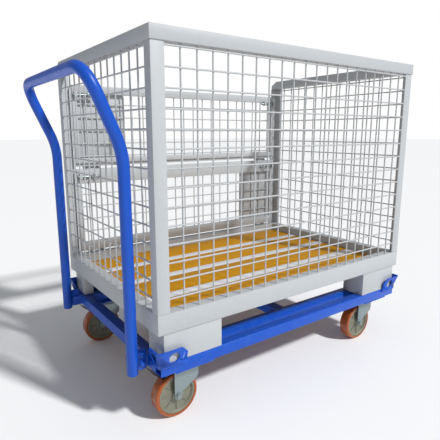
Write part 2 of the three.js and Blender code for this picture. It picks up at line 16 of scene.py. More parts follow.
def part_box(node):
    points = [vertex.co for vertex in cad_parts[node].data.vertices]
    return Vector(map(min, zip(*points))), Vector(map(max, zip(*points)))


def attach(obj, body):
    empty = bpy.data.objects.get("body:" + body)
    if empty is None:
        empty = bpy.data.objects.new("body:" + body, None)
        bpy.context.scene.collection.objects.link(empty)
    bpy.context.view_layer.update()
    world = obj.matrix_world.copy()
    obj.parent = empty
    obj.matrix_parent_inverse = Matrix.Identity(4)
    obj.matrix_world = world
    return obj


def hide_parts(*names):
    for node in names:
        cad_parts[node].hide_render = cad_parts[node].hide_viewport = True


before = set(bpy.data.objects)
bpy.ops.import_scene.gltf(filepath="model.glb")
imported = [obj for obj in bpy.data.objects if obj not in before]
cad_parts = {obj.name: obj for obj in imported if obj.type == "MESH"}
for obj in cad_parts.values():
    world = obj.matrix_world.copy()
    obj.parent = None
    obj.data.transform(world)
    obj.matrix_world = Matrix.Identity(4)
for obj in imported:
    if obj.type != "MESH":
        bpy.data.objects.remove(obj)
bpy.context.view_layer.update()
base_low, base_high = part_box("base_frame")
TO_METRES = Matrix.Translation((base_low[0], base_low[1], 0)) @ Matrix.Scale(0.001, 4)
LENGTH = round((base_high[0] - base_low[0]) * 1000)
WIDTH = 835


# %% [markdown]
# ## Camera
# The view is from the front left, a little above the top rail's height when seen from afar, with a
# lens that is nearly normal. The camera stands at a measured point, so its turn and tilt are set as
# two angles.

# %% Camera
CAMERA_PLACE = (-557.5, -1082.7, 943.6)
CAMERA_TILT, CAMERA_TURN = 11.45, 35.97
LENS, SENSOR = 35.38, 36


def point(x, y, z):
    """A place in millimetres from the box's front left corner, in metres in the frame."""
    return TO_METRES @ Vector((x, y, z))


camera_data = bpy.data.cameras.new("camera")
camera = bpy.data.objects.new("camera", camera_data)
bpy.context.scene.collection.objects.link(camera)
camera.location = point(*CAMERA_PLACE)
camera.rotation_euler = (math.radians(90 - CAMERA_TILT), 0, math.radians(-CAMERA_TURN))
camera_data.lens, camera_data.sensor_width = LENS, SENSOR
bpy.context.scene.camera = camera
print("camera at", [round(value, 3) for value in camera.location], "m")


# %% [markdown]
# ## Floor and light
# A low sun over the viewer's right shoulder throws the mesh's shadow back and to the left, as in a
# studio cut-out. A pale sky fills the shaded sides. The camera sees the sky as white, while the
# object is lit by a dimmer one.

# %% Floor and light
FLOOR_SHADE, FLOOR_ROUGHNESS, FLOOR_REACH = (0.93, 0.93, 0.93), 0.95, 60
SUN_STRENGTH, SUN_SPREAD, SUN_FROM = 3.2, 5, (0.40, -0.92, 0.92)
SKY_SHADE, SKY_STRENGTH = (0.93, 0.96, 1, 1), 0.34


def plain_material(name, colour, roughness):
    """A Principled material with plain values, and its shader node."""
    material = bpy.data.materials.new(name)
    material.use_nodes = True
    shader = material.node_tree.nodes["Principled BSDF"]
    shader.inputs["Base Color"].default_value = (*colour, 1)
    shader.inputs["Roughness"].default_value = roughness
    return material, shader


bm = bmesh.new()
bmesh.ops.create_grid(bm, x_segments=1, y_segments=1, size=FLOOR_REACH)
floor_mesh = bpy.data.meshes.new("studio_floor")
bm.to_mesh(floor_mesh)
bm.free()
studio_floor = bpy.data.objects.new("studio_floor", floor_mesh)
bpy.context.scene.collection.objects.link(studio_floor)
floor_mesh.materials.append(plain_material("pale_floor", FLOOR_SHADE, FLOOR_ROUGHNESS)[0])

sun_data = bpy.data.lights.new("sun", "SUN")
sun_data.energy, sun_data.angle = SUN_STRENGTH, math.radians(SUN_SPREAD)
sun = bpy.data.objects.new("sun", sun_data)
sun.rotation_euler = Vector(SUN_FROM).to_track_quat("Z", "Y").to_euler()
bpy.context.scene.collection.objects.link(sun)

world = bpy.data.worlds.new("sky")
bpy.context.scene.world = world
world.use_nodes = True
sky = world.node_tree
seen, light = sky.nodes["Background"], sky.nodes.new("ShaderNodeBackground")
seen.inputs["Color"].default_value = (1, 1, 1, 1)
light.inputs["Color"].default_value = SKY_SHADE
light.inputs["Strength"].default_value = SKY_STRENGTH
choose, path = sky.nodes.new("ShaderNodeMixShader"), sky.nodes.new("ShaderNodeLightPath")
sky.links.new(path.outputs["Is Camera Ray"], choose.inputs[0])
sky.links.new(light.outputs[0], choose.inputs[1])
sky.links.new(seen.outputs[0], choose.inputs[2])
sky.links.new(choose.outputs[0], sky.nodes["World Output"].inputs["Surface"])
bpy.context.scene.view_settings.view_transform = "Standard"


# %% [markdown]
# ## Finishes
# Four effects are shared by several finishes, so each is a node group that is built once. Coat
# texture is the faint orange peel of sprayed powder with a slow drift in shade. Edge wear finds the
# corners that rub first. Dust settles on faces that look up. Grain is the long streaking of wood
# under a film. A finish then chooses its own strengths.

# %% Node group helpers
def new_group(name, inputs, outputs):
    """An empty shader group with its sockets, and its input and output nodes."""
    tree = bpy.data.node_groups.new(name, "ShaderNodeTree")
    for label, kind, value in inputs:
        tree.interface.new_socket(label, in_out="INPUT", socket_type=kind).default_value = value
    for label, kind in outputs:
        tree.interface.new_socket(label, in_out="OUTPUT", socket_type=kind)
    return tree, tree.nodes.new("NodeGroupInput").outputs, tree.nodes.new("NodeGroupOutput").inputs


def new_node(tree, kind, settings=None, **values):
    """A node with its settings and its socket values; a value that is itself a socket is linked."""
    made = tree.nodes.new(kind)
    for key, value in (settings or {}).items():
        setattr(made, key, value)
    for key, value in values.items():
        label = key.replace("_", " ")
        socket = made.inputs[int(key[1:])] if key[0] == "i" and key[1:].isdigit() else made.inputs[label]
        if isinstance(value, bpy.types.NodeSocket):
            tree.links.new(value, socket)
        else:
            socket.default_value = value
    return made


FLOAT, COLOUR, VECTOR = "NodeSocketFloat", "NodeSocketColor", "NodeSocketVector"


def mix_colour(tree, factor, a, b):
    """A plain colour mix; returns its result socket."""
    mix = new_node(tree, "ShaderNodeMix", {"data_type": "RGBA"}, i0=factor, i6=a, i7=b)
    return mix.outputs[2]


def ramp(tree, value, low, high, to_low=0.0, to_high=1.0):
    """A clamped map of a value from low..high to to_low..to_high."""
    made = new_node(tree, "ShaderNodeMapRange", None, Value=value)
    for label, number in (("From Min", low), ("From Max", high), ("To Min", to_low), ("To Max", to_high)):
        made.inputs[label].default_value = number
    return made.outputs[0]


def noise(tree, where, **settings):
    """A noise value at a place."""
    return new_node(tree, "ShaderNodeTexNoise", None, Vector=where, **settings).outputs["Fac"]


def times(tree, a, b):
    """The product of two sockets."""
    return new_node(tree, "ShaderNodeMath", {"operation": "MULTIPLY"}, i0=a, i1=b).outputs[0]


# %% Coat texture group
tree, given, result = new_group(
    "coat_texture",
    [("Colour", COLOUR, (1, 1, 1, 1)), ("Drift", FLOAT, 0.06),
     ("Roughness", FLOAT, 0.4), ("Peel", FLOAT, 0.1)],
    [("Colour", COLOUR), ("Roughness", FLOAT), ("Normal", VECTOR)],
)
where = new_node(tree, "ShaderNodeTexCoord").outputs["Object"]
slow = noise(tree, where, Scale=5.0, Detail=4.0, Roughness=0.6)
fine = noise(tree, where, Scale=420.0, Detail=2.0)
darker = new_node(tree, "ShaderNodeHueSaturation", None, Value=0.7, Color=given["Colour"]).outputs[0]
drift = times(tree, slow, given["Drift"])
tree.links.new(mix_colour(tree, drift, given["Colour"], darker), result["Colour"])
sheen = ramp(tree, slow, 0.3, 0.7, -0.05, 0.05)
total = new_node(tree, "ShaderNodeMath", {"operation": "ADD"}, i0=sheen, i1=given["Roughness"]).outputs[0]
tree.links.new(total, result["Roughness"])
bump = new_node(tree, "ShaderNodeBump", None, Strength=given["Peel"], Distance=0.0004, Height=fine)
tree.links.new(bump.outputs[0], result["Normal"])

# %% Edge wear group
tree, given, result = new_group(
    "edge_wear",
    [("Colour", COLOUR, (1, 1, 1, 1)), ("Bare", COLOUR, (0.5, 0.5, 0.5, 1)), ("Amount", FLOAT, 0.3)],
    [("Colour", COLOUR), ("Worn", FLOAT)],
)
where = new_node(tree, "ShaderNodeTexCoord").outputs["Object"]
patches = noise(tree, where, Scale=38.0, Detail=6.0, Roughness=0.7)
corner = ramp(tree, new_node(tree, "ShaderNodeNewGeometry").outputs["Pointiness"], 0.53, 0.62)
rubbed = ramp(tree, patches, 0.48, 0.62)
worn = times(tree, times(tree, corner, rubbed), given["Amount"])
tree.links.new(mix_colour(tree, worn, given["Colour"], given["Bare"]), result["Colour"])
tree.links.new(worn, result["Worn"])

# %% Dust group
tree, given, result = new_group(
    "dust",
    [("Colour", COLOUR, (1, 1, 1, 1)), ("Amount", FLOAT, 0.1)],
    [("Colour", COLOUR)],
)
where = new_node(tree, "ShaderNodeTexCoord").outputs["Object"]
blotches = noise(tree, where, Scale=14.0, Detail=5.0)
normal = new_node(tree, "ShaderNodeNewGeometry").outputs["Normal"]
facing = new_node(tree, "ShaderNodeSeparateXYZ", None, Vector=normal)
lying = ramp(tree, facing.outputs["Z"], 0.6, 1.0)
settled = times(tree, times(tree, lying, ramp(tree, blotches, 0.35, 0.7)), given["Amount"])
dust_colour = (0.55, 0.53, 0.50, 1)
tree.links.new(mix_colour(tree, settled, given["Colour"], dust_colour), result["Colour"])

# %% Grain group
tree, given, result = new_group(
    "grain",
    [("Colour", COLOUR, (1, 1, 1, 1)), ("Dark", COLOUR, (0, 0, 0, 1)), ("Strength", FLOAT, 0.3)],
    [("Colour", COLOUR), ("Normal", VECTOR)],
)
where = new_node(tree, "ShaderNodeTexCoord").outputs["Object"]
along = new_node(tree, "ShaderNodeMapping", None, Vector=where, Scale=(2.5, 90.0, 90.0)).outputs[0]
streaks = noise(tree, along, Scale=1.0, Detail=6.0, Roughness=0.6)
depth = times(tree, ramp(tree, streaks, 0.4, 0.7), given["Strength"])
tree.links.new(mix_colour(tree, depth, given["Colour"], given["Dark"]), result["Colour"])
bump = new_node(tree, "ShaderNodeBump", None, Strength=0.25, Distance=0.0003, Height=streaks)
tree.links.new(bump.outputs[0], result["Normal"])


# %% Finish builder
def finish_material(name, colour, roughness, drift, peel, bare, wear, dust, metallic=0.0, coat=0.0):
    """A finish: coat texture, then worn edges, then dust, into one Principled shader."""
    material, shader = plain_material(name, colour, roughness)
    tree = material.node_tree
    coat_node = new_node(tree, "ShaderNodeGroup", {"node_tree": bpy.data.node_groups["coat_texture"]})
    coat_settings = {"Colour": (*colour, 1), "Drift": drift, "Roughness": roughness, "Peel": peel}
    for label, value in coat_settings.items():
        coat_node.inputs[label].default_value = value
    wear_node = new_node(tree, "ShaderNodeGroup", {"node_tree": bpy.data.node_groups["edge_wear"]})
    wear_node.inputs["Bare"].default_value = (*bare, 1)
    wear_node.inputs["Amount"].default_value = wear
    dust_node = new_node(tree, "ShaderNodeGroup", {"node_tree": bpy.data.node_groups["dust"]})
    dust_node.inputs["Amount"].default_value = dust
    tree.links.new(coat_node.outputs["Colour"], wear_node.inputs["Colour"])
    tree.links.new(wear_node.outputs["Colour"], dust_node.inputs["Colour"])
    tree.links.new(dust_node.outputs["Colour"], shader.inputs["Base Color"])
    tree.links.new(coat_node.outputs["Roughness"], shader.inputs["Roughness"])
    tree.links.new(coat_node.outputs["Normal"], shader.inputs["Normal"])
    shader.inputs["Metallic"].default_value = metallic
    shader.inputs["Coat Weight"].default_value = coat
    return material


GREY = finish_material(
    "grey_powder_coat", (0.47, 0.49, 0.505),
    0.5, 0.12, 0.12, (0.38, 0.38, 0.37), 0.25, 0.10,
)
# Painted light: a pale finish for flush strips between the floor boards, standing in for the bright backdrop
# seen through the gaps.
GAP_LIGHT = finish_material(
    "worn_bright_bearer", (0.80, 0.81, 0.83),
    0.35, 0.10, 0.08, (0.6, 0.6, 0.6), 0.1, 0.08,
)
BLUE = finish_material(
    "blue_powder_coat", (0.006, 0.080, 0.50),
    0.36, 0.2, 0.15, (0.05, 0.16, 0.50), 0.35, 0.0, coat=0.0,
)
ZINC = finish_material(
    "zinc_plate", (0.30, 0.36, 0.37),
    0.38, 0.35, 0.08, (0.7, 0.72, 0.72), 0.2, 0.05, metallic=0.75,
)
BEIGE = finish_material(
    "moulded_wheel", (0.19, 0.19, 0.14),
    0.5, 0.2, 0.05, (0.6, 0.6, 0.5), 0.1, 0.05,
)
BLACK = finish_material(
    "black_steel", (0.012, 0.012, 0.013),
    0.42, 0.3, 0.1, (0.3, 0.3, 0.3), 0.4, 0.05,
)
TYRE = finish_material(
    "polyurethane", (0.36, 0.075, 0.006),
    0.28, 0.35, 0.03, (0.4, 0.13, 0.04), 0.15, 0.0, coat=0.2,
)
BLUE.node_tree.nodes["Principled BSDF"].inputs["Specular IOR Level"].default_value = 0.35
tyre_shader = TYRE.node_tree.nodes["Principled BSDF"]
tyre_shader.inputs["Subsurface Weight"].default_value = 0.15
tyre_shader.inputs["Subsurface Radius"].default_value = (0.010, 0.003, 0.001)
tyre_shader.inputs["Subsurface Scale"].default_value = 1.0

BOARD, board_shader = plain_material("yellow_film_board", (0.52, 0.255, 0.004), 0.5)
tree = BOARD.node_tree
board_shader.inputs["Specular IOR Level"].default_value = 0.15
grain = new_node(tree, "ShaderNodeGroup", {"node_tree": bpy.data.node_groups["grain"]})
grain.inputs["Colour"].default_value = (0.60, 0.275, 0.002, 1)
grain.inputs["Dark"].default_value = (0.48, 0.205, 0.002, 1)
grain.inputs["Strength"].default_value = 0.35
tree.links.new(grain.outputs["Colour"], board_shader.inputs["Base Color"])
tree.links.new(grain.outputs["Normal"], board_shader.inputs["Normal"])
print("finishes", [material.name for material in bpy.data.materials])


# %% [markdown]
# ## Making pieces
# Each piece is a bmesh that a few operators shape. A small round on every edge catches the light,
# as pressed steel and sawn tube do. When a piece is done, it is moved to its place, given its
# finish, and told which body it rides on.

# %% Piece helpers
SHARP = math.radians(32)


def finish(name, bm, body, material, replaces=(), move=TO_METRES):
    """Turns a bmesh into a finished piece that rides on its body."""
    bmesh.ops.transform(bm, matrix=move, verts=bm.verts)
    bmesh.ops.recalc_face_normals(bm, faces=bm.faces)
    mesh = bpy.data.meshes.new(name)
    bm.to_mesh(mesh)
    bm.free()
    mesh.polygons.foreach_set("use_smooth", [True] * len(mesh.polygons))
    mesh.set_sharp_from_angle(angle=SHARP)
    piece = bpy.data.objects.new(name, mesh)
    bpy.context.scene.collection.objects.link(piece)
    mesh.materials.append(material)
    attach(piece, body)
    if replaces:
        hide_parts(*replaces)
    return piece


def soften(bm, width, angle=SHARP):
    """Rounds the sharp edges of a closed shape."""
    edges = [edge for edge in bm.edges if len(edge.link_faces) == 2 and edge.calc_face_angle(0) > angle]
    bmesh.ops.bevel(bm, geom=edges, offset=width, segments=2, profile=0.5, affect="EDGES",
                    material=-1, clamp_overlap=True)


def put(bm, piece):
    """Adds a finished shape to a bmesh that collects several."""
    carrier = bpy.data.meshes.new("carrier")
    piece.to_mesh(carrier)
    bm.from_mesh(carrier)
    bpy.data.meshes.remove(carrier)
    piece.free()


def block(x, y, z, width=1.2):
    """A block between pairs of millimetres, with rounded edges."""
    piece = bmesh.new()
    size = Matrix.Diagonal((x[1] - x[0], y[1] - y[0], z[1] - z[0], 1))
    middle = Matrix.Translation((sum(x) / 2, sum(y) / 2, sum(z) / 2))
    bmesh.ops.create_cube(piece, size=1, matrix=middle @ size)
    soften(piece, width)
    return piece


TURN = {
    "x": Matrix.Rotation(math.pi / 2, 4, "Y"),
    "y": Matrix.Rotation(math.pi / 2, 4, "X"),
    "z": Matrix.Identity(4),
}


def rod(axis, radius, centre, start, end, sides=24, width=0.6):
    """A round or many-sided bar along an axis; centre is its place on the other two axes."""
    piece = bmesh.new()
    middle = (start + end) / 2
    place = {"x": (middle, *centre), "y": (centre[0], middle, centre[1]), "z": (*centre, middle)}[axis]
    bmesh.ops.create_cone(piece, cap_ends=True, segments=sides, radius1=radius, radius2=radius,
                          depth=end - start, matrix=Matrix.Translation(place) @ TURN[axis])
    if width:
        rims = [edge for edge in piece.edges if edge.calc_face_angle(0) > math.radians(50)]
        bmesh.ops.bevel(piece, geom=rims, offset=width, segments=2, profile=0.5, affect="EDGES", material=-1)
    return piece


def extruded(outline, axis, start, end, width=0.8):
    """A flat outline pushed along an axis, with rounded edges."""
    piece = bmesh.new()
    places = {
        "x": lambda a, b: (start, a, b),
        "y": lambda a, b: (a, start, b),
        "z": lambda a, b: (a, b, start),
    }
    place = places[axis]
    face = piece.faces.new([piece.verts.new(place(a, b)) for a, b in outline])
    step = {"x": (end - start, 0, 0), "y": (0, end - start, 0), "z": (0, 0, end - start)}[axis]
    made = bmesh.ops.extrude_face_region(piece, geom=[face])
    moved = [item for item in made["geom"] if isinstance(item, bmesh.types.BMVert)]
    bmesh.ops.translate(piece, vec=step, verts=moved)
    bmesh.ops.recalc_face_normals(piece, faces=piece.faces)
    if width:
        soften(piece, width)
    return piece


def lathe(profile, steps, centre):
    """A ring turned about a line along Y through centre; the profile is [radius, y] points."""
    piece = bmesh.new()
    points = [piece.verts.new((radius, y, 0)) for radius, y in profile]
    edges = [piece.edges.new((a, b)) for a, b in zip(points, points[1:] + points[:1])]
    bmesh.ops.spin(piece, geom=points + edges, cent=(0, 0, 0), axis=(0, 1, 0),
                   angle=2 * math.pi, steps=steps, use_merge=True)
    bmesh.ops.translate(piece, vec=centre, verts=piece.verts)
    bmesh.ops.recalc_face_normals(piece, faces=piece.faces)
    return piece


def from_cad(node, width):
    """A merged copy of a CAD node in metres, with its sharp edges rounded by width millimetres."""
    piece = bmesh.new()
    piece.from_mesh(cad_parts[node].data)
    bmesh.ops.remove_doubles(piece, verts=piece.verts, dist=1e-5)
    bmesh.ops.dissolve_limit(piece, angle_limit=math.radians(0.5), verts=piece.verts, edges=piece.edges)
    soften(piece, width / 1000)
    return piece


def softened(node, body, material, width):
    """A CAD node shown with rounded edges and its own finish."""
    name = node + "_shown"
    return finish(name, from_cad(node, width), body, material, [node], Matrix.Identity(4))


CORNERS = ["front_left", "front_right", "back_left", "back_right"]

# %% [markdown]
# ## Dolly frame
# The dolly is welded from 40 mm square tube. Cold-formed tube has corners of about the wall's
# thickness, so the CAD tubes are kept and their edges rounded by 2.2 mm. The seat plates under the
# inner rails round with them.

# %% Dolly frame
TUBE_EDGE = 2.2

for name in ("dolly_side_rail_front", "dolly_side_rail_back", "dolly_end_rail_left", "dolly_end_rail_right",
             "dolly_inner_rail_front", "dolly_inner_rail_back", "dolly_cross_tube"):
    softened(name, "dolly", BLUE, TUBE_EDGE)


# %% [markdown]
# ## Corner catches
# Each catch is a strip of 6 mm plate bent to an L, and its upper part is bent outwards, so that a
# foot of the box slides home. It starts as the strip's outline, which is extruded up to the bend
# and again to a top that is pushed out. Two round holes are then cut through it, and the free
# corners are cut off.

# %% Corner catches
CATCH = {"low": 228, "bend": 246, "top": 290, "flare": 12, "plate": 6, "x": 0.7, "y": -3.3}
CATCH |= {"end_x": 98, "end_y": 65, "round": 13, "hole": 18.5, "hole_x": 50, "hole_y": 36, "nip": 26}


def cut(piece, cutters):
    """Subtracts each cutter from a bmesh with the Boolean modifier, and returns the result."""
    def as_object(shape):
        mesh = bpy.data.meshes.new("cut")
        shape.to_mesh(mesh)
        shape.free()
        made = bpy.data.objects.new("cut", mesh)
        bpy.context.scene.collection.objects.link(made)
        return made
    target = as_object(piece)
    tools = [as_object(cutter) for cutter in cutters]
    for tool in tools:
        step = target.modifiers.new("hole", "BOOLEAN")
        step.object, step.solver = tool, "EXACT"
    bpy.context.view_layer.update()
    evaluated = target.evaluated_get(bpy.context.evaluated_depsgraph_get())
    after = bmesh.new()
    after.from_mesh(evaluated.to_mesh())
    evaluated.to_mesh_clear()
    for made in (target, *tools):
        mesh = made.data
        bpy.data.objects.remove(made)
        bpy.data.meshes.remove(mesh)
    return after


def corner_catch():
    """One catch at the front left corner."""
    wall, round_out = CATCH["plate"], CATCH["round"]
    end_x, end_y = CATCH["end_x"], CATCH["end_y"]
    quarter = [math.radians(angle) for angle in range(0, 91, 15)]

    def ring(offset):
        x, y = CATCH["x"] - offset, CATCH["y"] - offset
        middle_x, middle_y = x + round_out, y + round_out
        inner = round_out - wall
        outside = [(middle_x - round_out * math.cos(t), middle_y - round_out * math.sin(t)) for t in quarter]
        inside = [(middle_x - inner * math.cos(t), middle_y - inner * math.sin(t)) for t in reversed(quarter)]
        return [(x, end_y), *outside, (end_x, y), (end_x, y + wall), *inside, (x + wall, end_y)]

    piece = bmesh.new()
    level = [piece.verts.new((x, y, CATCH["low"])) for x, y in ring(0)]
    face = piece.faces.new(level)
    for height, offset in ((CATCH["bend"], 0), (CATCH["top"], CATCH["flare"])):
        made = bmesh.ops.extrude_face_region(piece, geom=[face])["geom"]
        face = next(item for item in made if isinstance(item, bmesh.types.BMFace))
        for vert, (x, y) in zip(face.verts, ring(offset)):
            vert.co = (x, y, height)
    bmesh.ops.recalc_face_normals(piece, faces=piece.faces)
    middle = (CATCH["low"] + CATCH["top"]) / 2
    through, past = (-40, 30), 5
    top, nip = CATCH["top"] + past, CATCH["nip"]
    holes = [
        rod("y", CATCH["hole"], (CATCH["hole_x"], middle), *through, 48, 0),
        rod("x", CATCH["hole"], (CATCH["hole_y"], middle), *through, 48, 0),
    ]
    for axis, end in (("y", end_x), ("x", end_y)):
        corner_cut = [(end - nip, top), (end + past, top - nip - past), (end + past, top)]
        holes.append(extruded(corner_cut, axis, *through, 0))
    piece = cut(piece, holes)
    bmesh.ops.dissolve_limit(piece, angle_limit=math.radians(0.5), verts=piece.verts, edges=piece.edges)
    soften(piece, 0.9, math.radians(50))
    return piece


def to_corner(corner):
    """Mirrors a shape made at the front left corner to another corner."""
    flip_x = Matrix.Translation((LENGTH, 0, 0)) @ Matrix.Scale(-1, 4, (1, 0, 0))
    flip_y = Matrix.Translation((0, WIDTH, 0)) @ Matrix.Scale(-1, 4, (0, 1, 0))
    return (flip_x if "right" in corner else Matrix()) @ (flip_y if "back" in corner else Matrix())


for corner in CORNERS:
    finish("catch_" + corner, corner_catch(), "dolly", BLUE, ["corner_catch_" + corner],
           TO_METRES @ to_corner(corner))

# %% [markdown]
# ## Push handle
# The handle is one tube of 38 mm, bent four times. A curve with a round bevel is the natural way to
# make a bent tube: its points are the straight runs and the arcs between them. Gusset plates and
# bolts join it to the dolly.

# %% Push handle
HANDLE = {"radius": 18.4, "x": -50, "y": 87, "foot": 190, "knee": 890, "top_x": -150, "top": 1122, "bend": 90}


def bent_path():
    """Points along the handle's centre line, from one foot to the other."""
    near, far = HANDLE["y"], WIDTH - HANDLE["y"]
    lean = Vector((HANDLE["top_x"] - HANDLE["x"], 0, HANDLE["top"] - HANDLE["knee"])).normalized()
    up, across = Vector((0, 0, 1)), Vector((0, 1, 0))
    knee, top = HANDLE["bend"] * 0.6, HANDLE["bend"]
    turns = [
        (Vector((HANDLE["x"], near, HANDLE["knee"])), up, lean, knee),
        (Vector((HANDLE["top_x"], near, HANDLE["top"])), lean, across, top),
        (Vector((HANDLE["top_x"], far, HANDLE["top"])), across, -lean, top),
        (Vector((HANDLE["x"], far, HANDLE["knee"])), -lean, -up, knee),
    ]
    points = [Vector((HANDLE["x"], near, HANDLE["foot"]))]
    for apex, before, after, reach in turns:
        start, end = apex - before * reach, apex + after * reach
        for i in range(17):
            t = i / 16
            points.append(start * (1 - t) ** 2 + apex * (2 * t * (1 - t)) + end * t ** 2)
    points.append(Vector((HANDLE["x"], far, HANDLE["foot"])))
    return points


def bent_tube():
    """The handle's tube from a bevelled curve, with domed ends."""
    curve = bpy.data.curves.new("handle_path", "CURVE")
    curve.dimensions, curve.bevel_depth, curve.bevel_resolution = "3D", HANDLE["radius"], 8
    curve.use_fill_caps = True
    points = bent_path()
    spline = curve.splines.new("POLY")
    spline.points.add(len(points) - 1)
    for target, place in zip(spline.points, points):
        target.co = (*place, 1)
    holder = bpy.data.objects.new("handle_path", curve)
    bpy.context.scene.collection.objects.link(holder)
    bpy.context.view_layer.update()
    mesh = holder.to_mesh()
    piece = bmesh.new()
    piece.from_mesh(mesh)
    holder.to_mesh_clear()
    bpy.data.objects.remove(holder)
    bpy.data.curves.remove(curve)
    bmesh.ops.remove_doubles(piece, verts=piece.verts, dist=0.01)
    steep = math.radians(60)
    rims = [edge for edge in piece.edges if len(edge.link_faces) == 2 and edge.calc_face_angle(0) > steep]
    bmesh.ops.bevel(piece, geom=rims, offset=6, segments=4, profile=0.5, affect="EDGES", material=-1)
    return piece


finish("handle_tube", bent_tube(), "dolly", BLUE, ["push_handle"])

# %% Gusset plates
GUSSET = [(-48, 199), (-34, 203), (-20, 197), (-3, 199), (-1, 204),
          (-1, 266), (-6, 269), (-34, 270), (-48, 262)]
GUSSET_PLATE, BOLT_X, BOLT_HEIGHTS = 6, -16, (218, 250)
HEAD, WASHER = 6.5, 1.5

plates, bolts = bmesh.new(), bmesh.new()
for side, inner in ((HANDLE["y"], 1), (WIDTH - HANDLE["y"], -1)):
    faces = sorted((side, side + inner * GUSSET_PLATE))
    put(plates, extruded(GUSSET, "y", faces[0], faces[1]))
    for height in BOLT_HEIGHTS:
        head = (faces[0] - HEAD, faces[0] + 1) if inner > 0 else (faces[1] - 1, faces[1] + HEAD)
        put(bolts, rod("y", 8.5, (BOLT_X, height), *head, 6, 0.8))
        washer = (faces[0] - WASHER, faces[0] + 1) if inner > 0 else (faces[1] - 1, faces[1] + WASHER)
        put(bolts, rod("y", 12, (BOLT_X, height), *washer, 28, 0.4))
finish("handle_gussets", plates, "dolly", BLUE)
finish("handle_bolts", bolts, "dolly", BLUE)

# %% [markdown]
# ## Castors
# A heavy castor is a pressed plate, a ball race, a fork and a wheel. The wheel's polyurethane is
# cast onto a moulded centre, so the two are separate rings that meet. Both are turned from a
# profile, which is how a lathe thinks, and a bmesh spin does the same. The fork's legs are pressed
# sheets with a fold that stiffens them.

# %% Castors
AXLE_X, AXLE_Z, WHEEL_RADIUS, TREAD = -40, 80, 80, 11.7
SWIVEL_X, SWIVEL_FRONT, SWIVEL_BACK = 135, 81, 754
LEG_OUTSIDE, LEG_SHEET = 30, 3.6


def mirrored(half):
    """A closed profile from its +Y half."""
    return half + [(radius, -y) for radius, y in reversed(half)]


def arc(centre, radius, start, end, steps):
    """Points on an arc in degrees."""
    angles = [math.radians(start + (end - start) * i / steps) for i in range(steps + 1)]
    return [(centre[0] + radius * math.cos(t), centre[1] + radius * math.sin(t)) for t in angles]


def tyre_ring():
    """The cast tread: flat sides, round shoulders and a slightly crowned face."""
    inner = WHEEL_RADIUS - TREAD
    shoulder = arc((WHEEL_RADIUS - 6.3, 15.7), 5.8, 90, 8, 5)
    half = [(inner, 21.6), *shoulder, (WHEEL_RADIUS - 0.15, 9), (WHEEL_RADIUS, 0.01)]
    return lathe(mirrored(half), 96, (AXLE_X, 0, AXLE_Z))


def wheel_centre():
    """The moulded centre: a rim, a dished web with ribs, and a hub."""
    rim = WHEEL_RADIUS - TREAD - 0.3
    half = [(6.5, 25.2), (15, 25.2), (19, 24.2), (21, 17), (27, 13.5), (46, 11.5), (57, 13), (60.5, 19.5),
            (62, 20.8), (66.5, 20.8), (rim, 19.8)]
    wheel = bmesh.new()
    put(wheel, lathe(mirrored(half), 64, (AXLE_X, 0, AXLE_Z)))
    for i in range(8):
        spoke = block((20, 61), (-15.5, 15.5), (-1.6, 1.6), 0.7)
        turned = Matrix.Translation((AXLE_X, 0, AXLE_Z)) @ Matrix.Rotation(i * math.pi / 4, 4, "Y")
        bmesh.ops.transform(spoke, matrix=turned, verts=spoke.verts)
        put(wheel, spoke)
    return wheel


def ring_about_z(profile, steps):
    """A closed shape turned about the swivel axis; its [radius, z] profile starts and ends on it."""
    piece = bmesh.new()
    points = [piece.verts.new((radius, 0, z)) for radius, z in profile]
    edges = [piece.edges.new((a, b)) for a, b in zip(points, points[1:])]
    bmesh.ops.spin(piece, geom=points + edges, cent=(0, 0, 0), axis=(0, 0, 1),
                   angle=2 * math.pi, steps=steps, use_merge=True)
    bmesh.ops.remove_doubles(piece, verts=piece.verts, dist=0.001)
    bmesh.ops.recalc_face_normals(piece, faces=piece.faces)
    return piece


def fork():
    """The crown and two legs; each leg is flat at its front and folded inwards behind the fold."""
    shape = bmesh.new()
    put(shape, block((-40, 41), (-29.8, 29.8), (171, 176), 1.5))
    put(shape, ring_about_z([(0, 175), (38, 175), (38.6, 177), (36, 180.9), (0, 180.9)], 64))
    for side in (1, -1):
        leg = bmesh.new()
        foot = arc((AXLE_X, AXLE_Z), 14.5, 180, 360, 10)
        column = [(-54, 173), *foot, (-24, 92), (-20, 173)]
        wing = [(-20, 173), (-24, 92), (36, 124), (40, 136), (40, 173)]
        shared = {}

        def vertex(a, b, inward):
            if (a, b) not in shared:
                shared[(a, b)] = leg.verts.new((a, side * (LEG_OUTSIDE - inward), b))
            return shared[(a, b)]

        leg.faces.new([vertex(a, b, 0) for a, b in column])
        leg.faces.new([vertex(a, b, 0 if (a, b) in column else 1.4) for a, b in wing])
        bmesh.ops.recalc_face_normals(leg, faces=leg.faces)
        bmesh.ops.solidify(leg, geom=leg.faces[:], thickness=LEG_SHEET)
        # Solidify may grow the sheet outwards; its thickness belongs inside the leg's outer face.
        if min(abs(vert.co.y) for vert in leg.verts) > LEG_OUTSIDE - 1:
            bmesh.ops.translate(leg, vec=(0, -side * LEG_SHEET, 0), verts=leg.verts)
        bmesh.ops.recalc_face_normals(leg, faces=leg.faces)
        soften(leg, 0.7, math.radians(40))
        put(shape, leg)
    return shape


def axle():
    """The axle bolt with its head, nut and washers."""
    bolt = bmesh.new()
    put(bolt, rod("y", 5.9, (AXLE_X, AXLE_Z), -38, 38, 24, 1.2))
    for side in (1, -1):
        put(bolt, rod("y", 13, (AXLE_X, AXLE_Z), *sorted((side * 30.3, side * 32)), 32, 0.4))
        put(bolt, rod("y", 10.5, (AXLE_X, AXLE_Z), *sorted((side * 32, side * 37)), 6, 0.9))
    return bolt


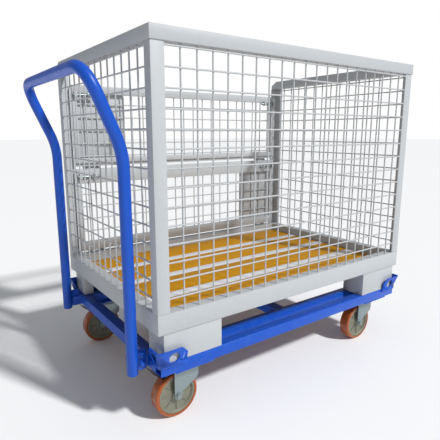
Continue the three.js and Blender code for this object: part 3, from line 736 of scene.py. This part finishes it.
def top_plate():
    """The castor's plate, with the upper half of its ball race and four bolts."""
    plate = bmesh.new()
    put(plate, block((-67.5, 67.5), (-55, 55), (187.4, 193.4), 1.6))
    put(plate, ring_about_z([(0, 181.3), (36, 181.3), (37, 183), (34, 188), (0, 188)], 64))
    for x in (-52.5, 52.5):
        for y in (-40, 40):
            put(plate, rod("z", 8.6, (x, y), 180.6, 188, 6, 0.8))
            put(plate, rod("z", 12, (x, y), 185.8, 188, 28, 0.4))
    return plate


def pedal():
    """The brake pedal: a strip that follows the tread and rises to a foot plate."""
    shape = bmesh.new()
    inner, plate = WHEEL_RADIUS + 7, 4
    near = arc((AXLE_X, AXLE_Z), inner, 88, 124, 12)
    far = arc((AXLE_X, AXLE_Z), inner + plate, 124, 88, 12)
    tip = [(-127.4, 184.6), (-129, 186.4), (-128.6, 189.8)]
    put(shape, extruded([*near, *tip, *far], "y", -23.5, 23.5, 0.8))
    put(shape, rod("y", 2.5, (-38, 169), -25.4, 25.4, 16, 0.4))
    return shape


for corner in CORNERS:
    x = LENGTH - SWIVEL_X if "right" in corner else SWIVEL_X
    y = SWIVEL_BACK if "back" in corner else SWIVEL_FRONT
    swivel = TO_METRES @ Matrix.Translation((x, y, 0))
    finish("tyre_shown_" + corner, tyre_ring(), "wheel_" + corner, TYRE, ["tyre_" + corner], swivel)
    finish("wheel_centre_" + corner, wheel_centre(), "wheel_" + corner, BEIGE,
           ["wheel_body_" + corner], swivel)
    finish("fork_shown_" + corner, fork(), "fork_" + corner, ZINC, ["castor_fork_" + corner], swivel)
    finish("axle_shown_" + corner, axle(), "fork_" + corner, ZINC, ["axle_bolt_" + corner], swivel)
    finish("plate_shown_" + corner, top_plate(), "dolly", ZINC, ["castor_plate_" + corner], swivel)
    if "left" in corner:
        finish("pedal_shown_" + corner, pedal(), "brake_" + corner, BLACK,
               ["brake_pedal_" + corner], swivel)

# %% [markdown]
# ## Box: pressed steel
# The base, feet, posts and top rail are bent sheet, so the CAD solids carry over with the small
# outside radius of a press brake. The floor boards get sawn edges that are only just broken.

# %% Base, feet, posts, rail and boards
softened("base_frame", "box", GREY, 1.2)
softened("top_rail", "box", GREY, 1.6)
for corner in CORNERS:
    softened("foot_" + corner, "box", GREY, 1.2)
    softened("post_" + corner, "box", GREY, 1.2)
for i in range(1, 5):
    softened(f"floor_board_{i}", "box", BOARD, 0.8)

# %% Painted light in the gaps between the boards
BEAM, GAP_WIDTH, GAP_STEP, FLOOR_TOP = 40, 45, 200, 370

# Painted light: each pale strip fills a gap between the boards and stands in for the bright backdrop seen
# through it.
strips = bmesh.new()
for i in range(1, 4):
    edge = BEAM + i * GAP_STEP - GAP_WIDTH
    across = (edge + 0.3, edge + GAP_WIDTH - 0.3)
    put(strips, block((BEAM + 0.5, LENGTH - BEAM - 0.5), across, (FLOOR_TOP - 1, FLOOR_TOP + 0.4), 0.3))
finish("painted_gap_light_strips", strips, "box", GAP_LIGHT)

# %% [markdown]
# ## Box: welded wire
# The mesh is 5.5 mm wire on a 55.8 mm pitch. The upright wires lie behind the level ones, and each
# crossing is pressed together a little by the welder. Every wire is one low-sided rod, because
# there are hundreds of crossings.

# %% Wire panels
WIRE, PITCH, PRESS = 2.75, 55.8, 0.6
LEVELS = [1175.7 - PITCH * i for i in range(14)]
ACROSS = [97.5 + PITCH * i for i in range(20)]
DEPTHS = [92.8 + PITCH * i for i in range(13)]


def panel(plane, out, back, uprights, levels, side, height):
    """Upright wires at depth back and level wires at depth out, in the plane across X or Y."""
    wires = bmesh.new()
    for place in uprights:
        centre = (place, back) if plane == "y" else (back, place)
        put(wires, rod("z", WIRE, centre, *height, 10, 0))
    for level in levels:
        centre = (out, level)
        put(wires, rod("x" if plane == "y" else "y", WIRE, centre, *side, 10, 0))
    return wires


UPRIGHT = (405.2, 1185.4)
BESIDE_X, BESIDE_Y = (42.5, LENGTH - 42.5), (36.5, WIDTH - 36.5)
OUT, BACK = 3.2, 3.2 + 2 * WIRE - PRESS
finish("wires_front", panel("y", OUT, BACK, ACROSS, LEVELS, BESIDE_X, UPRIGHT), "box",
       GREY, ["mesh_front"])
finish("wires_left", panel("x", OUT, BACK, DEPTHS, LEVELS, BESIDE_Y, UPRIGHT), "box",
       GREY, ["mesh_left"])
finish("wires_right", panel("x", LENGTH - OUT, LENGTH - BACK, DEPTHS, LEVELS, BESIDE_Y, UPRIGHT), "box",
       GREY, ["mesh_right"])
print("wires", len(LEVELS), "levels,", len(ACROSS), "uprights in front,", len(DEPTHS), "at each end")

# %% [markdown]
# ## Drop gates
# Each gate is a frame of folded sheet around the same wire. The lower one drops outwards on hinges
# at the base, and the upper one folds down over it. Slide bolts in strap keepers lock them to the
# posts.

# %% Gate frames
LEFT, RIGHT = 45, LENGTH - 45
INNER, OUTER, HINGE_Y = 806, 831, 842
LOWER_HINGE, UPPER_HINGE = 411, 791
LOWER_BOLT, UPPER_BOLT = 753, 1099


def knuckles(shape, height, fixed):
    """Hinge knuckles and their lugs at both ends; the fixed half stands outside the moving one."""
    for x in (120, LENGTH - 120):
        spans = [(x - 36, x - 20.3), (x + 20.3, x + 36)] if fixed else [(x - 20, x + 20)]
        lug = (height - 9, height) if fixed else (height, height + 9)
        for span in spans:
            put(shape, rod("x", 5.9, (HINGE_Y, height), *span, 24, 0.6))
            put(shape, block(span, (OUTER - 2, HINGE_Y), lug, 0.8))


def keepers(shape, height, plate_top):
    """Two straps at each end hold the slide bolt against the gate."""
    for mirror in (False, True):
        for reach in (14, 80):
            x = RIGHT - reach if mirror else LEFT + reach
            span = (x - 5, x + 5)
            put(shape, block(span, (789.5, 792), (height - 9.5, plate_top), 0.6))
            put(shape, block(span, (791, INNER + 1), (height - 9.5, height - 6.8), 0.6))
            put(shape, block(span, (791, INNER + 1), (height + 6.8, plate_top), 0.6))


def gate(bottom, top, bottom_bar, top_bar, lip):
    """A gate's frame and wires."""
    shape = bmesh.new()
    low, high = bottom + bottom_bar, top - top_bar
    put(shape, block((LEFT, RIGHT), (INNER, OUTER), (bottom + lip, low), 1.6))
    if lip:
        put(shape, block((LEFT, RIGHT), (INNER + 9, OUTER - 0.2), (bottom, bottom + lip - 2.5), 1.0))
        put(shape, block((LEFT, RIGHT), (INNER + 9, INNER + 14), (bottom + lip - 4, bottom + lip + 3), 0.5))
    put(shape, block((LEFT, RIGHT), (INNER, OUTER), (high, top), 1.6))
    for x in ((LEFT, LEFT + 20), (RIGHT - 20, RIGHT)):
        put(shape, block(x, (INNER + 0.5, OUTER - 0.5), (low - 1, high + 1), 1.4))
    for x in ACROSS:
        if LEFT + 24 < x < RIGHT - 24:
            put(shape, rod("z", WIRE, (x, 820.5), low - 2, high + 2, 10, 0))
    for z in LEVELS:
        if low + 5 < z < high - 5:
            put(shape, rod("x", WIRE, (815.6, z), LEFT + 18, RIGHT - 18, 10, 0))
    return shape


lower = gate(bottom=417, top=785, bottom_bar=40, top_bar=63, lip=0)
knuckles(lower, LOWER_HINGE, False)
knuckles(lower, UPPER_HINGE, True)
keepers(lower, LOWER_BOLT, LOWER_BOLT + 14)
finish("lower_gate_shown", lower, "lower_gate", GREY, ["lower_gate"])
upper = gate(bottom=797, top=1140, bottom_bar=36, top_bar=33, lip=14)
knuckles(upper, UPPER_HINGE, False)
keepers(upper, UPPER_BOLT, UPPER_BOLT + 14)
finish("upper_gate_shown", upper, "upper_gate", GREY, ["upper_gate"])


# %% [markdown]
# ## Marking plates and slide bolts
# A blank plate on each gate takes a label. It is a thin sheet with a narrow turned edge. The bolts
# are plain zinc rod with a thumb knob, and they are drawn back, so that the gates are free.

# %% Marking plates and slide bolts
def marking_plate(x, z):
    """A thin sheet with a raised border."""
    sheet = bmesh.new()
    put(sheet, block(x, (824, 825.4), z, 0.3))
    rim = 3
    level = [(x, (z[0], z[0] + rim)), (x, (z[1] - rim, z[1]))]
    upright = [((x[0], x[0] + rim), z), ((x[1] - rim, x[1]), z)]
    for span_x, span_z in level + upright:
        put(sheet, block(span_x, (824.2, 826), span_z, 0.3))
    return sheet


finish("upper_marking_shown", marking_plate((65.4, 279.3), (833.4, 1106.6)), "upper_gate",
       GREY, ["upper_marking_plate"])
finish("lower_marking_shown", marking_plate((LENGTH - 279.3, LENGTH - 65.4), (457.4, 721.6)), "lower_gate",
       GREY, ["lower_marking_plate"])

for level, height in (("lower", LOWER_BOLT), ("upper", UPPER_BOLT)):
    for side in ("left", "right"):
        x0, x1 = (LEFT, LEFT + 100) if side == "left" else (RIGHT - 100, RIGHT)
        knob = LEFT + 62 if side == "left" else RIGHT - 62
        bolt = rod("x", 5.9, (799, height), x0, x1, 24, 1.2)
        put(bolt, rod("y", 4, (knob, height), 784, 799, 16, 0.5))
        put(bolt, rod("y", 6.5, (knob, height), 777.2, 785, 20, 2))
        name = level + "_latch_" + side
        finish(name + "_shown", bolt, name + "_bolt", ZINC, [name])
